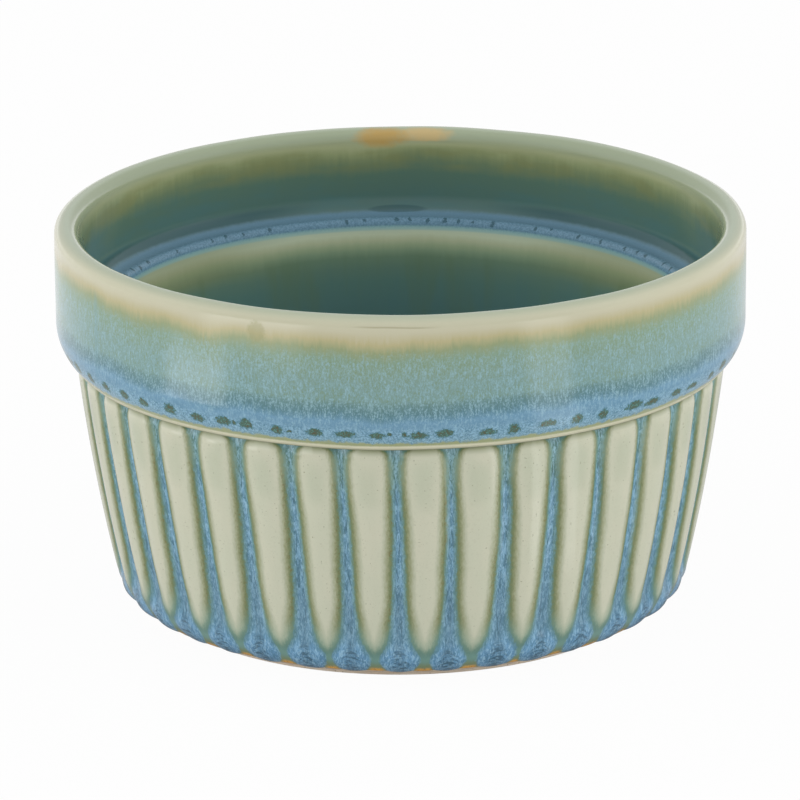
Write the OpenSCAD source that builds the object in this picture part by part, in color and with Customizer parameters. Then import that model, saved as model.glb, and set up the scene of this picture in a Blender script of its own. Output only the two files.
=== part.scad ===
// Small round fluted baking dish of glazed stoneware, with a plain collar, ribs and a stacking ledge.
// Millimetres, +Z up, the origin at the middle of the foot ring's contact plane.
// A groove between two ribs faces -Y.

/* [Overall] */
// Outer diameter of the rim
rim_d = 115; // [100:1:130]
// Height from the foot plane to the top of the rim
height = 66; // [60:1:80]
// Thickness of the glaze coat
glaze = 0.4; // [0.25:0.05:0.5]

/* [Rim and collar] */
// Thickness of the wall at the rim, glaze included
rim_w = 4; // [3.9:0.1:5]
// Rounding of the rim's outer edge
rim_round = 1.8; // [1.2:0.1:1.9]
// Rounding of the rim's inner edge
rim_in_round = 2; // [1:0.1:2.1]
// Height of the collar, from the rim down to the ridge under it
collar_h = 22.8; // [18:0.2:28]
// Rounding of the collar's underside
collar_round = 7.6; // [6.6:0.1:9]
// Radius of the ridge's section
ridge_r = 0.45; // [0.3:0.05:0.6]
// How far the ridge stands out of the round under the collar
ridge_proud = 0.15; // [0.05:0.05:0.25]

/* [Ribbed wall] */
// How far the ribs stand inside the collar at the neck
neck_step = 3.15; // [2.4:0.05:3.6]
// Lean of the wall at the neck, in degrees off vertical
lean_top = 6.2; // [4:0.1:8]
// Lean of the wall where the lower corner starts, in degrees off vertical
lean_low = 12.5; // [10:0.5:16]
// Radius of the lower corner
corner_r = 10; // [8:0.5:14]
// Where the glaze stops on the lower corner, in degrees below level
glaze_stop = 53; // [50:1:65]
// Number of ribs
ribs = 38; // [32:1:42]
// Depth of a groove in the clay
groove_depth = 1.2; // [0.6:0.1:1.8]
// How far the blue glass lies below the ribs at the neck
run_sink = 0.55; // [0.1:0.05:0.9]
// How far the blue glass stands out of the lower corner as a drop
drop_bulge = 0.3; // [0:0.05:0.5]

/* [Inside] */
// Depth of the stacking ledge below the rim
ledge_drop = 14.8; // [12:0.2:20]
// Width of the ledge, from the upper wall to the lower wall
ledge_w = 4.5; // [4.3:0.1:6]
// Rounding where the upper wall meets the ledge
ledge_fillet = 3; // [2:0.1:3.2]
// Rounding of the ledge's lip
lip_round = 1.2; // [0.8:0.1:1.4]
// Lean of the lower inner wall, in degrees off vertical
inner_lean = 6.5; // [5:0.5:8]
// Rounding between the lower inner wall and the floor
floor_round = 8; // [5:0.5:12]
// Thickness of the floor above the recess in the base, glaze included
floor_w = 5.1; // [4:0.1:7]

/* [Foot] */
// Diameter of the foot ring where it stands
foot_d = 81.2; // [78:0.2:83]
// Width of the foot ring's flat
foot_w = 6; // [4:0.5:9]
// Broken edge of the foot ring
foot_break = 0.5; // [0.3:0.1:0.6]
// Depth of the recess in the base, glaze included
recess_h = 1.4; // [1.2:0.1:2.4]
// Rounding at the edge of the recess
recess_round = 1; // [0.6:0.1:1.1]

/* [Hidden] */
$fn = 180;

// How far a cutter runs past what it cuts
over = 1;
// Steps of a small arc, of the wall's long arc and of the lower corner
small_steps = 5;
round_steps = 8;
wall_steps = 5;

// A run of blue glass in its groove: height as a share of the neck's height, half width as a share of the
// ribs' pitch at the neck. It flares under the ridge, narrows, and ends in a drop on the lower corner.
RUN_SHARES = [
    [1.02, 0.28],
    [0.99, 0.19],
    [0.97, 0.135],
    [0.93, 0.10],
    [0.80, 0.09],
    [0.60, 0.105],
    [0.42, 0.127],
    [0.30, 0.157],
    [0.23, 0.197],
    [0.19, 0.27],
    [0.155, 0.34],
    [0.115, 0.368],
    [0.085, 0.34],
    [0.065, 0.28],
    [0.05, 0.17],
    [0.03, 0.04]
];

rim_r = rim_d / 2;
in_r = rim_r - rim_w;
neck_r = rim_r - neck_step;
neck_z = height - collar_h;
pitch = 2 * PI * neck_r / ribs;

// The ridge's centre, and the centre of the round under the collar, which the ridge stands out of
ridge_c = [neck_r + ridge_r / 3, neck_z + ridge_r];
collar_reach = collar_round - ridge_r + ridge_proud;
collar_cr = rim_r - collar_round;
collar_c = [collar_cr, ridge_c[1] + sqrt(pow(collar_reach, 2) - pow(ridge_c[0] - collar_cr, 2))];
ridge_lean = atan2(collar_c[1] - ridge_c[1], ridge_c[0] - collar_c[0]);
collar_gap = acos((pow(collar_round, 2) + pow(collar_reach, 2) - pow(ridge_r, 2)) / (2 * collar_round * collar_reach));
ridge_turn = acos((pow(collar_round, 2) - pow(collar_reach, 2) - pow(ridge_r, 2)) / (2 * ridge_r * collar_reach));

// The wall's long arc ends where the lower corner, which touches the foot plane's level, starts
low_z = corner_r * (1 - sin(lean_low));
wall_arc = (neck_z - low_z) / (sin(lean_low) - sin(lean_top));
wall_c = [neck_r - wall_arc * cos(lean_top), neck_z + wall_arc * sin(lean_top)];
corner_c = [wall_c[0] + (wall_arc - corner_r) * cos(lean_low), corner_r];

ledge_z = height - ledge_drop;
lip_r = in_r - ledge_w;
lip_c = [lip_r + lip_round, ledge_z - lip_round];
floor_z = recess_h + floor_w;
// The lower inner wall's distance from the origin along its normal, which places the floor's rounding
inner_reach = lip_c[0] * cos(inner_lean) - lip_c[1] * sin(inner_lean) - lip_round;
floor_cz = floor_z + floor_round;
floor_c = [(inner_reach - floor_round + floor_cz * sin(inner_lean)) / cos(inner_lean), floor_cz];

foot_r = foot_d / 2;
foot_in_r = foot_r - foot_w;
recess_c = [foot_in_r - glaze - recess_round, recess_h - recess_round];

function mix(a, b, t) = a + (b - a) * t;
function turn(a) = [cos(a), sin(a)];
function flip(list) = [for (i = [len(list) - 1:-1:0]) list[i]];
function arc(c, r, a0, a1, steps) = [for (i = [0:steps]) c + r * turn(mix(a0, a1, i / steps))];

// Every line runs in the half plane of radius and height. Its inset is 0 on the glass and glaze on the clay.
function rim_line(inset) = concat(
    arc([in_r + rim_in_round, height - rim_in_round], rim_in_round - inset, 180, 90, small_steps),
    arc([rim_r - rim_round, height - rim_round], rim_round - inset, 90, 0, small_steps)
);

// The collar's glass ends in the ridge
collar_glass_line = concat(
    rim_line(0),
    arc(collar_c, collar_round, 0, collar_gap - ridge_lean, round_steps),
    arc(ridge_c, ridge_r, ridge_turn - ridge_lean, -90, small_steps)
);

// The collar's clay ends level with the neck
collar_clay_line = concat(
    rim_line(glaze),
    arc(collar_c, collar_round - glaze, 0, -asin((collar_c[1] - neck_z) / (collar_round - glaze)), round_steps)
);

// The ribbed wall and its lower corner, with the inset given at the neck, at the corner and where the glaze stops
function wall_line(top, low, stop) = concat(
    [
        for (i = [0:wall_steps])
            wall_c + (wall_arc - mix(top, low, i / wall_steps))
                * turn(-mix(asin(wall_arc * sin(lean_top) / (wall_arc - top)), lean_low, i / wall_steps))
    ],
    [
        for (i = [1:round_steps])
            corner_c + (corner_r - mix(low, stop, i / round_steps))
                * turn(-mix(lean_low, glaze_stop, i / round_steps))
    ]
);

function upper_wall_line(inset) = [
    [in_r + inset, height - rim_in_round],
    [in_r + inset, ledge_z + ledge_fillet]
];

function ledge_line(inset) = concat(
    arc([in_r - ledge_fillet, ledge_z + ledge_fillet], ledge_fillet + inset, 0, -90, small_steps),
    [[lip_c[0], ledge_z - inset]]
);

function bowl_line(inset) = concat(
    arc(lip_c, lip_round - inset, 90, 180 - inner_lean, small_steps),
    arc(floor_c, floor_round + inset, -inner_lean, -90, round_steps),
    [[0, floor_z - inset]]
);

function recess_line(inset) = concat(
    [[0, recess_h + inset]],
    arc(recess_c, recess_round + inset, 90, 0, small_steps)
);

clay_outline = concat(
    collar_clay_line,
    wall_line(glaze, glaze, glaze),
    [
        [foot_r + foot_break, foot_break],
        [foot_r, 0],
        [foot_in_r + foot_break, 0],
    ],
    flip(recess_line(glaze)),
    flip(bowl_line(glaze)),
    flip(ledge_line(glaze)),
    flip(upper_wall_line(glaze))
);

// A closed ring between two lines that start and end on the same normals
module ring(outer, inner) {
    rotate_extrude()
        polygon(concat(outer, flip(inner)));
}

// The space that one run takes, looked at from outside, drawn through the wall from the lower corner's centre
module run_block() {
    start = corner_c[0];
    half = [for (p = RUN_SHARES) [p[1] * pitch, p[0] * neck_z]];
    other = [for (p = flip(half)) [-p[0], p[1]]];
    translate([start, 0, 0])
        rotate([90, 0, 90])
            linear_extrude(rim_r - start)
                polygon(concat(half, other));
}

module all_runs() {
    for (i = [0:ribs - 1])
        rotate([0, 0, 360 * i / ribs - 90])
            run_block();
}

module stoneware_body() {
    groove = glaze + groove_depth;
    color("#d8c4a8")
        difference() {
            rotate_extrude()
                polygon(clay_outline);
            intersection() {
                ring(wall_line(-over, -over, -over), wall_line(groove, groove, glaze));
                all_runs();
            }
        }
}

module collar_glaze() {
    color("#93ab9c")
        ring(collar_glass_line, collar_clay_line);
}

module rib_glaze() {
    color("#c3c3a8")
        difference() {
            ring(wall_line(0, 0, 0), wall_line(glaze, glaze, glaze));
            all_runs();
        }
}

module groove_glaze() {
    groove = glaze + groove_depth;
    color("#6a92b5")
        intersection() {
            ring(wall_line(run_sink, 0, -drop_bulge), wall_line(groove, groove, glaze));
            all_runs();
        }
}

module upper_wall_glaze() {
    color("#5f7c6e")
        ring(upper_wall_line(0), upper_wall_line(glaze));
}

module ledge_glaze() {
    color("#6f9ac0")
        ring(ledge_line(0), ledge_line(glaze));
}

module bowl_glaze() {
    color("#46665f")
        ring(bowl_line(0), bowl_line(glaze));
}

module base_glaze() {
    color("#a9b3a0")
        ring(recess_line(0), recess_line(glaze));
}

stoneware_body();
collar_glaze();
rib_glaze();
groove_glaze();
upper_wall_glaze();
ledge_glaze();
bowl_glaze();
base_glaze();
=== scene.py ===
# %% [markdown]
# # A fluted baking dish under a running glaze
#
# The dish is one fired stoneware body, and a coat of glass melted on to it. This lesson dresses the packed
# solids with that coat. The clay is made whole. The glaze of the collar, the ribs, the blue runs between
# them, the inside and the base is made as thin skins, which lie on it exactly as the real layers do.

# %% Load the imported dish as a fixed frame
import math

import bmesh
import bpy
import numpy as np
from mathutils import Euler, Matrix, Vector, noise


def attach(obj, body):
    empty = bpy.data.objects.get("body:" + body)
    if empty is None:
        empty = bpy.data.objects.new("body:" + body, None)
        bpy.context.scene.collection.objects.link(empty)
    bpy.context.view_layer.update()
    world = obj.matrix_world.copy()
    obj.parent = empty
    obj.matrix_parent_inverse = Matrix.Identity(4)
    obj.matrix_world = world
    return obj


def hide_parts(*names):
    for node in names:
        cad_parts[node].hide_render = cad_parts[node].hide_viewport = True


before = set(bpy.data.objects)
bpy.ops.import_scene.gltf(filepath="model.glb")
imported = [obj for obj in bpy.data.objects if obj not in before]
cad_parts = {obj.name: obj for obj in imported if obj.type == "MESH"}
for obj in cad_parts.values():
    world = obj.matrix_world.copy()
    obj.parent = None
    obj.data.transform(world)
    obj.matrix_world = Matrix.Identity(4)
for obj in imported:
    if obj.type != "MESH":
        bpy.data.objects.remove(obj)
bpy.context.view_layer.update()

# %% [markdown]
# ## Sizes
#
# A potter thinks of a turned pot as one line, the profile, and so do these cells. All sizes are in
# millimetres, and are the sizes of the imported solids: a few are given, and the centres of the roundings
# follow from them. Meshes are scaled to metres at the very end.

# %% Sizes of the turned form
MM = 0.001
coat = 0.4
ribs = 38

# rim, collar and the ridge under it
rim_r, height, rim_w = 57.5, 66.0, 4.0
rim_round, rim_in_round = 1.8, 2.0
collar_h, collar_round, neck_step = 22.8, 7.6, 3.15
ridge_r, ridge_proud = 0.45, 0.15
in_r, neck_r, neck_z = rim_r - rim_w, rim_r - neck_step, height - collar_h
ridge_c = (neck_r + ridge_r / 3, neck_z + ridge_r)
collar_reach, collar_cr = collar_round - ridge_r + ridge_proud, rim_r - collar_round
collar_c = (collar_cr, ridge_c[1] + math.sqrt(collar_reach ** 2 - (ridge_c[0] - collar_cr) ** 2))

# the ribbed wall: a long arc, then the lower corner
lean_top, lean_low, glaze_stop = (math.radians(a) for a in (6.2, 12.5, 53))
corner_r = 10.0
low_z = corner_r * (1 - math.sin(lean_low))
wall_arc = (neck_z - low_z) / (math.sin(lean_low) - math.sin(lean_top))
wall_c = (neck_r - wall_arc * math.cos(lean_top), neck_z + wall_arc * math.sin(lean_top))
corner_c = (wall_c[0] + (wall_arc - corner_r) * math.cos(lean_low), corner_r)
wall_length = wall_arc * (lean_low - lean_top)
stop_length = wall_length + corner_r * (glaze_stop - lean_low)

# foot and recess
foot_r, foot_w, foot_break = 40.6, 6.0, 0.5
recess_h, recess_round = 1.4, 1.0
foot_in_r = foot_r - foot_w
recess_c = (foot_in_r - coat - recess_round, recess_h - recess_round)

# the inside
ledge_drop, ledge_w, ledge_fillet, lip_round = 14.8, 4.5, 3.0, 1.2
inner_lean, floor_w, floor_round = math.radians(6.5), 5.1, 8.0
ledge_z, floor_z = height - ledge_drop, recess_h + floor_w
lip_c = (in_r - ledge_w + lip_round, ledge_z - lip_round)
floor_cz = floor_z + floor_round
inner_reach = lip_c[0] * math.cos(inner_lean) - lip_c[1] * math.sin(inner_lean) - lip_round
floor_c = ((inner_reach - floor_round + floor_cz * math.sin(inner_lean)) / math.cos(inner_lean), floor_cz)
print("the ribbed wall is", round(wall_length, 1), "mm down to its lower corner,",
      "and the packed glaze ends at", round(stop_length, 1))

# %% [markdown]
# ## Lines
#
# Each skin is turned from a line in the half plane of radius and height. A line is a list of rows: radius,
# height and the way already travelled along it. The way is kept on the mesh as an attribute called down, so
# that a finish can say how far below the rim a colour starts.

# %% Helpers for lines
def arc(centre, radius, start, end, steps):
    """Points on an arc, with angles in degrees above level."""
    turn = np.radians(np.linspace(start, end, steps + 1))
    return np.column_stack([centre[0] + radius * np.cos(turn), centre[1] + radius * np.sin(turn)])


def straight(start, end, steps):
    """Points on a straight line, without its two ends."""
    share = np.linspace(0, 1, steps + 2)[1:-1, None]
    return (1 - share) * np.array(start) + share * np.array(end)


def travelled(points, start=0.0):
    """The line with a third column, the way along it."""
    way = start + np.concatenate([[0], np.cumsum(np.hypot(*np.diff(points, axis=0).T))])
    return np.column_stack([points, way])


def skin_line(outer, inner):
    """A closed line for a coat: its glass side, then back along the clay, which is given the nearest way."""
    near = [outer[np.argmin(np.hypot(outer[:, 0] - r, outer[:, 1] - z)), 2] for r, z in inner]
    return np.vstack([outer, np.column_stack([inner, near])[::-1]])


# %% [markdown]
# ## Turning
#
# On a wheel the profile is swept round the axis. Blender's Screw modifier can do that, but a few lines of
# mesh code close the middle of the floor with a single point and leave room for the small unevenness of a
# real glaze.

# %% Turn a line into a mesh
columns_round = 360


def seen_normals(line):
    """Normals of a line that runs with the outside on its left hand."""
    along = np.gradient(line[:, :2], axis=0)
    length = np.maximum(np.hypot(along[:, 0], along[:, 1]), 1e-9)
    return np.column_stack([-along[:, 1], along[:, 0]]) / length[:, None]


def turned(name, line, columns, lift=None):
    """A closed skin turned from a closed line. lift(rows, angles) moves its points along their normals."""
    angle = np.linspace(0, 2 * np.pi, columns, endpoint=False)
    normal = seen_normals(line)
    offset = lift(line, angle) if lift else np.zeros((len(line), columns))
    r = line[:, :1] + normal[:, :1] * offset
    z = line[:, 1:2] + normal[:, 1:] * offset
    ring_start, points, way = [], [], []
    for k, (radius, _, travel) in enumerate(line):
        ring_start.append(len(points))
        if radius < 1e-6:
            points.append((0, 0, z[k, 0]))
            way.append(travel)
            continue
        points.extend(np.column_stack([r[k] * np.sin(angle), -r[k] * np.cos(angle), z[k]]))
        way.extend([travel] * columns)
    faces = []
    for k in range(len(line)):
        here, there = ring_start[k], ring_start[(k + 1) % len(line)]
        pole_here, pole_there = line[k, 0] < 1e-6, line[(k + 1) % len(line), 0] < 1e-6
        for a in range(columns):
            b = (a + 1) % columns
            if pole_here and pole_there:
                continue
            if pole_here:
                faces.append((here, there + b, there + a))
            elif pole_there:
                faces.append((here + a, here + b, there))
            else:
                faces.append((here + a, here + b, there + b, there + a))
    mesh = bpy.data.meshes.new(name)
    mesh.from_pydata(np.array(points) * MM, [], faces)
    mesh.attributes.new("down", "FLOAT", "POINT").data.foreach_set("value", np.array(way, dtype=np.float32))
    return mesh


def placed(name, mesh, finish, sharp=40):
    """A finished piece in the scene, smooth but for its true edges, and facing outwards."""
    shell = bmesh.new()
    shell.from_mesh(mesh)
    bmesh.ops.recalc_face_normals(shell, faces=shell.faces)
    shell.to_mesh(mesh)
    shell.free()
    mesh.shade_smooth()
    mesh.set_sharp_from_angle(angle=math.radians(sharp))
    mesh.materials.clear()
    mesh.materials.append(finish)
    piece = bpy.data.objects.new(name, mesh)
    bpy.context.scene.collection.objects.link(piece)
    mesh.calc_loop_triangles()
    print(name, "has", len(mesh.loop_triangles), "triangles")
    return piece


def uneven(size, depth, where=1.0):
    """A lift for the glass side of a skin: slow swells, size across and depth high, as thick glaze has."""
    def lift(line, angle):
        moved = np.zeros((len(line), len(angle)))
        glass = np.arange(len(line)) < where * len(line)
        for k in np.flatnonzero(glass):
            r, z = line[k, 0] / size, line[k, 1] / size
            moved[k] = [depth * noise.noise((r * math.sin(a), -r * math.cos(a), z)) for a in angle]
        return moved
    return lift


# %% [markdown]
# ## Sums on sockets
#
# A finish is a sum: so much blue where the glass is thick, less where it is thin. Node trees say such sums
# with many Math nodes. The small class below lets Python write them as sums, for materials and Geometry
# Nodes alike.

# %% A socket that can be summed
class Wire:
    """A socket of a node tree, with the sums that this dish needs."""

    def __init__(self, bench, socket):
        self.bench, self.socket = bench, socket

    def sum(self, operation, *terms):
        """One Math node, or one Vector Math node where a term is a vector."""
        vector = any(isinstance(t, Wire) and t.socket.type == "VECTOR" for t in terms)
        if vector:
            terms = [t if isinstance(t, Wire) else (t,) * 3 for t in terms]
        kind = "ShaderNodeVectorMath" if vector else "ShaderNodeMath"
        return self.bench.add(kind, {"operation": operation}, dict(enumerate(terms)))

    def rise(self, low, high):
        """0 below low, 1 above high, and smooth between them."""
        smooth = {"interpolation_type": "SMOOTHSTEP"}
        return self.bench.add("ShaderNodeMapRange", smooth, {0: self, 1: low, 2: high})

    def fade(self, low, high):
        """1 below low, 0 above high, and smooth between them."""
        return 1.0 - self.rise(low, high)


def one_sum(operation, reflected=False):
    """A method of Wire that does one sum. Its reflected form has the Wire last, as in 1 - mask."""
    def method(wire, *others):
        terms = (*others, wire) if reflected else (wire, *others)
        return wire.sum(operation, *terms)
    return method


for sign, operation in (("add", "ADD"), ("sub", "SUBTRACT"), ("mul", "MULTIPLY")):
    setattr(Wire, f"__{sign}__", one_sum(operation))
    setattr(Wire, f"__r{sign}__", one_sum(operation, reflected=True))
named_sums = {
    "__truediv__": "DIVIDE", "__abs__": "ABSOLUTE", "least": "MINIMUM", "most": "MAXIMUM",
    "sine": "SINE", "cosine": "COSINE", "floor": "FLOOR", "root": "SQRT", "exp": "EXPONENT"}
for word, operation in named_sums.items():
    setattr(Wire, word, one_sum(operation))
print("a Wire knows", 6 + len(named_sums), "sums")


class Bench:
    """A node tree, with one way to add a node to it."""

    def __init__(self, tree):
        self.tree = tree

    def add(self, kind, settings=None, sockets=None, out=0):
        """Adds a node, feeds its sockets with values or Wires, and gives back one of its outputs."""
        node = self.tree.nodes.new(kind)
        for name, value in (settings or {}).items():
            if name == "stops":
                ramp = node.color_ramp.elements
                while len(ramp) < len(value):
                    ramp.new(1.0)
                for stop, (place, tone) in zip(ramp, value):
                    stop.position, stop.color = place, (*tone, 1.0)
            elif name == "curve":
                line = node.mapping.curves[0]
                for place, amount in value[1:-1]:
                    line.points.new(place, amount)
                line.points[0].location, line.points[-1].location = value[0], value[-1]
                node.mapping.update()
            else:
                setattr(node, name, value)
        for key, value in (sockets or {}).items():
            socket = node.inputs[key]
            if isinstance(value, Wire):
                self.tree.links.new(value.socket, socket)
            elif socket.type == "RGBA":
                socket.default_value = (*value, 1.0)
            else:
                socket.default_value = value
        return Wire(self, node.outputs[out])


# %% [markdown]
# ## Shader helpers
#
# All patterns are measured in millimetres on the object, so a fleck has the size of a real fleck. Two
# helpers carry most of the work: flecks, which is noise drawn out along the fall of the glaze, and blend,
# which lays one colour over another through a mask.

# %% A material's own bench
def tint(red, green, blue):
    """A screen colour as the light values that a shader works with."""
    shares = [level / 255 for level in (red, green, blue)]
    return tuple(c / 12.92 if c <= 0.04 else ((c + 0.055) / 1.055) ** 2.4 for c in shares)


class Finish(Bench):
    """A material that is being mixed."""

    def __init__(self, name):
        self.material = bpy.data.materials.new(name)
        self.material.use_nodes = True
        super().__init__(self.material.node_tree)
        self.tree.nodes.clear()
        self.place = self.add("ShaderNodeTexCoord", out="Object") * (1 / MM)

    def kept(self, name):
        """An attribute that the mesh carries."""
        return self.add("ShaderNodeAttribute", {"attribute_name": name}, out="Fac")

    def axes(self):
        """The place across and back, in millimetres."""
        return [self.add("ShaderNodeSeparateXYZ", None, {0: self.place}, out=axis) for axis in "XY"]

    def flecks(self, across, along, at=None, detail=2.0, rough=0.55, drift=0.0, curl=0.0):
        """Noise with flecks so many millimetres across and along the fall of the glaze."""
        where = (self.place if at is None else at) * self.triple(1 / across, 1 / across, 1 / along) + drift
        sockets = {"Vector": where, "Scale": 1.0, "Detail": detail, "Roughness": rough, "Distortion": curl}
        return self.add("ShaderNodeTexNoise", {"noise_dimensions": "3D"}, sockets)

    def triple(self, x, y, z):
        return self.add("ShaderNodeCombineXYZ", None, {0: x, 1: y, 2: z})

    def blend(self, mask, under, over):
        """One colour over another, through a mask from 0 to 1."""
        return self.add("ShaderNodeMix", {"data_type": "RGBA"}, {0: mask, 6: under, 7: over}, out=2)

    def ladder(self, way, reach, stops):
        """Colours met one after the other along a way, which is reach long."""
        steps = [(at / reach, tone) for at, tone in stops]
        return self.add("ShaderNodeValToRGB", {"stops": steps}, {0: way / reach})

    def bump(self, height, reach, strength=1.0):
        sockets = {"Strength": strength, "Distance": reach * MM, "Height": height}
        return self.add("ShaderNodeBump", None, sockets)

    def glass(self, colour, rough, normal=None, ior=1.5):
        """Ends the material: melted glaze where it is smooth, bare clay where it is rough."""
        sockets = {"Base Color": colour, "Roughness": rough, "IOR": ior}
        if normal is not None:
            sockets["Normal"] = normal
        self.end(self.add("ShaderNodeBsdfPrincipled", None, sockets))
        return self.material

    def end(self, shader):
        last = self.tree.nodes.new("ShaderNodeOutputMaterial")
        self.tree.links.new(shader.socket, last.inputs["Surface"])
        print("the material", self.material.name, "takes", len(self.tree.nodes), "nodes")


# %% [markdown]
# ## The colours in the glaze
#
# One glaze makes them all. Where it is thin, over the rim, the ridge and the crests of the ribs, the clay
# warms it to cream. Where it slides off an edge it turns ochre and olive, and where it gathers it turns
# blue.

# %% Named colours
CELADON = tint(184, 196, 172)
TAN = tint(184, 176, 134)
TEAL = tint(100, 134, 128)
DEEP_TEAL = tint(48, 86, 96)
BLUE = tint(110, 154, 182)
BROWN = tint(88, 76, 42)
OCHRE = tint(230, 172, 82)
CLAY = tint(246, 234, 218)

# %% [markdown]
# ## Collar glaze
#
# Colours follow each other down the collar: cream, tan, sage and blue, each running raggedly into the next,
# with fine pale streaks that the melt drew out as it slid. Just above the ridge the glaze broke in a row of
# dark spots. A ladder of colours gives the order, and noise shifts the place on the ladder. For the spots
# the way round the dish is cut into equal cells. Each cell holds one oval, whose place, size and chance to
# be missing come from the cell's number, and noise makes its edge ragged.

# %% A row of spots
spots_r = 56.0


def spots(f, down, level, count, wide, high, salt, share=1.0):
    """A row of spots round the dish: 0 in the middle of a spot, 1 at its rim, more outside."""
    x, y = f.axes()
    turn = x.sum("ARCTAN2", x, 0.0 - y) * (count / (2 * math.pi))
    own = turn.floor()

    def chance(of):
        seed = {"W": own * 1.37 + of + salt}
        return f.add("ShaderNodeTexWhiteNoise", {"noise_dimensions": "1D"}, seed, out="Value")

    aside = (turn - own - 0.5 - (chance(0.1) - 0.5) * 0.34) * (2 * math.pi * spots_r / count)
    across = abs(aside) / (wide * (0.65 + 0.5 * chance(0.2)))
    lower = abs(down - level - (chance(0.3) - 0.5) * 0.5 - across * 0.15) / (high * (0.7 + 0.5 * chance(0.4)))
    missing = chance(0.5).rise(share - 0.01, share + 0.01) * 9.0
    return (across * across + lower * lower).root() + missing


# %% Thin glaze at the back of the rim
def scorched(f, colour, way):
    """The back of the rim, where the glaze is thin: ochre on one side, peach and higher up on the other."""
    x, y = f.axes()
    ragged = (f.flecks(1.8, 1.8, detail=2, rough=0.6, drift=41.0) - 0.5) * 1.2

    def oval(middle, depth, wide, high):
        across, along = (x - middle) / wide, (way + depth) / high
        return (across * across + along * along + ragged).fade(0.1, 1.5) * y.rise(20.0, 30.0)

    colour = f.blend(oval(3.9, 1.8, 4.9, 1.6) * 0.8, colour, tint(216, 186, 128))
    return f.blend(oval(-3.6, 2.4, 4.8, 2.2) * 0.85, colour, tint(202, 164, 92))


# %% The collar's bands and marks
def banded(f, down, slow):
    """The colours met on the way over the rim and down the collar."""
    rag = f.flecks(0.55, 3.0, detail=3, rough=0.6)
    level = down + (rag - 0.5) * 1.8 * down.rise(3.0, 6.0) + (slow - 0.5) * 3.2 * down.rise(2.0, 6.0)
    colour = f.ladder(level, 27.0, [
        (0.0, CELADON), (1.0, tint(190, 196, 172)), (2.0, tint(202, 201, 176)), (3.4, tint(198, 194, 167)),
        (4.9, TAN), (6.4, tint(146, 158, 118)), (8.0, tint(132, 159, 138)), (12.0, tint(125, 158, 154)),
        (15.0, tint(119, 154, 151)), (16.9, tint(96, 136, 145)), (18.4, BLUE), (20.0, tint(106, 149, 176)),
        (22.4, tint(108, 151, 172))])
    colour = f.blend(down.rise(-1.2, -0.2), tint(168, 179, 152), colour)
    return f.blend(down.rise(-3.2, -2.2), tint(174, 182, 148), colour)


def mottled(f, colour, down, slow, fibre, cloud):
    """Fine grains in longer fibres in slow clouds: pale where they run together, and green between."""
    grain = f.flecks(0.24, 0.36, detail=3, rough=0.75, curl=0.5)
    mottle = grain * 0.5 + fibre * 0.4 + cloud * 0.1
    wet = down.rise(5.5, 9.5)
    colour = f.blend(mottle.rise(0.49, 0.6) * wet * 0.68, colour, tint(148, 186, 200))
    between = mottle.fade(0.38, 0.5) * wet * down.fade(15.0, 18.0)
    colour = f.blend(between * 0.55, colour, tint(120, 142, 96))
    band = (down - 16.6 + (slow - 0.5)) / 2.0
    depth = (band * band).fade(0.0, 1.0) * 0.5 + down.rise(17.0, 19.0) * 0.15
    return f.blend(mottle.fade(0.42, 0.56) * depth, colour, tint(66, 112, 124))


def spotted(f, colour, down, ragged, speck):
    """The row of dark spots above the ridge, in a speckled belt."""
    belt = down.rise(19.2, 20.2)
    colour = f.blend(speck.rise(0.5, 0.57) * belt * 0.7, colour, tint(150, 193, 216))
    colour = f.blend(speck.fade(0.4, 0.46) * belt * 0.5, colour, tint(66, 118, 134))
    large = spots(f, down, level=20.65, count=66, wide=1.6, high=0.95, salt=3.0)
    small = spots(f, down, level=20.7, count=150, wide=0.6, high=0.5, salt=8.0, share=0.25)
    spot = large.least(small) + (ragged - 0.5) * 2.0
    colour = f.blend(abs(spot - 1.5).fade(0.1, 0.5) * 0.12, colour, tint(158, 200, 226))
    colour = f.blend(spot.fade(0.85, 1.15) * 0.7, colour, tint(76, 130, 146))
    colour = f.blend(spot.fade(0.7, 0.95) * 0.9, colour, tint(60, 98, 78))
    heart = spot.fade(0.45, 0.85)
    colour = f.blend(heart * speck.rise(0.5, 0.58) * 0.85, colour, BROWN)
    return f.blend(heart * speck.fade(0.38, 0.44) * 0.7, colour, tint(110, 160, 150))


def marked(f, colour, down, slow, ragged):
    """A scratch in the cream, thin glaze at the back, a seam in the blue and a touch mark in front."""
    x, y = f.axes()
    scratch = abs(down - 2.8 - (slow - 0.5) * 0.8).fade(0.04, 0.22)
    scratch = scratch * abs(x + 0.5).fade(3.0, 8.0) * y.fade(-40.0, -30.0)
    colour = f.blend(scratch * 0.4, colour, tint(140, 132, 98))
    colour = scorched(f, colour, down)
    seam = abs(x + 49.2).fade(0.1, 0.4) * y.fade(-28.0, -20.0) * down.rise(4.0, 7.0)
    colour = f.blend(seam * 0.2, colour, tint(106, 156, 172))
    touch_x, touch_d = (x + 22.5) / 1.5, (down - 4.6) / 1.8
    touch = (touch_x * touch_x + touch_d * touch_d + (ragged - 0.5) * 1.6).fade(0.4, 1.3)
    return f.blend(touch * y.fade(-20.0, -10.0) * 0.45, colour, tint(150, 148, 96))


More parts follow.
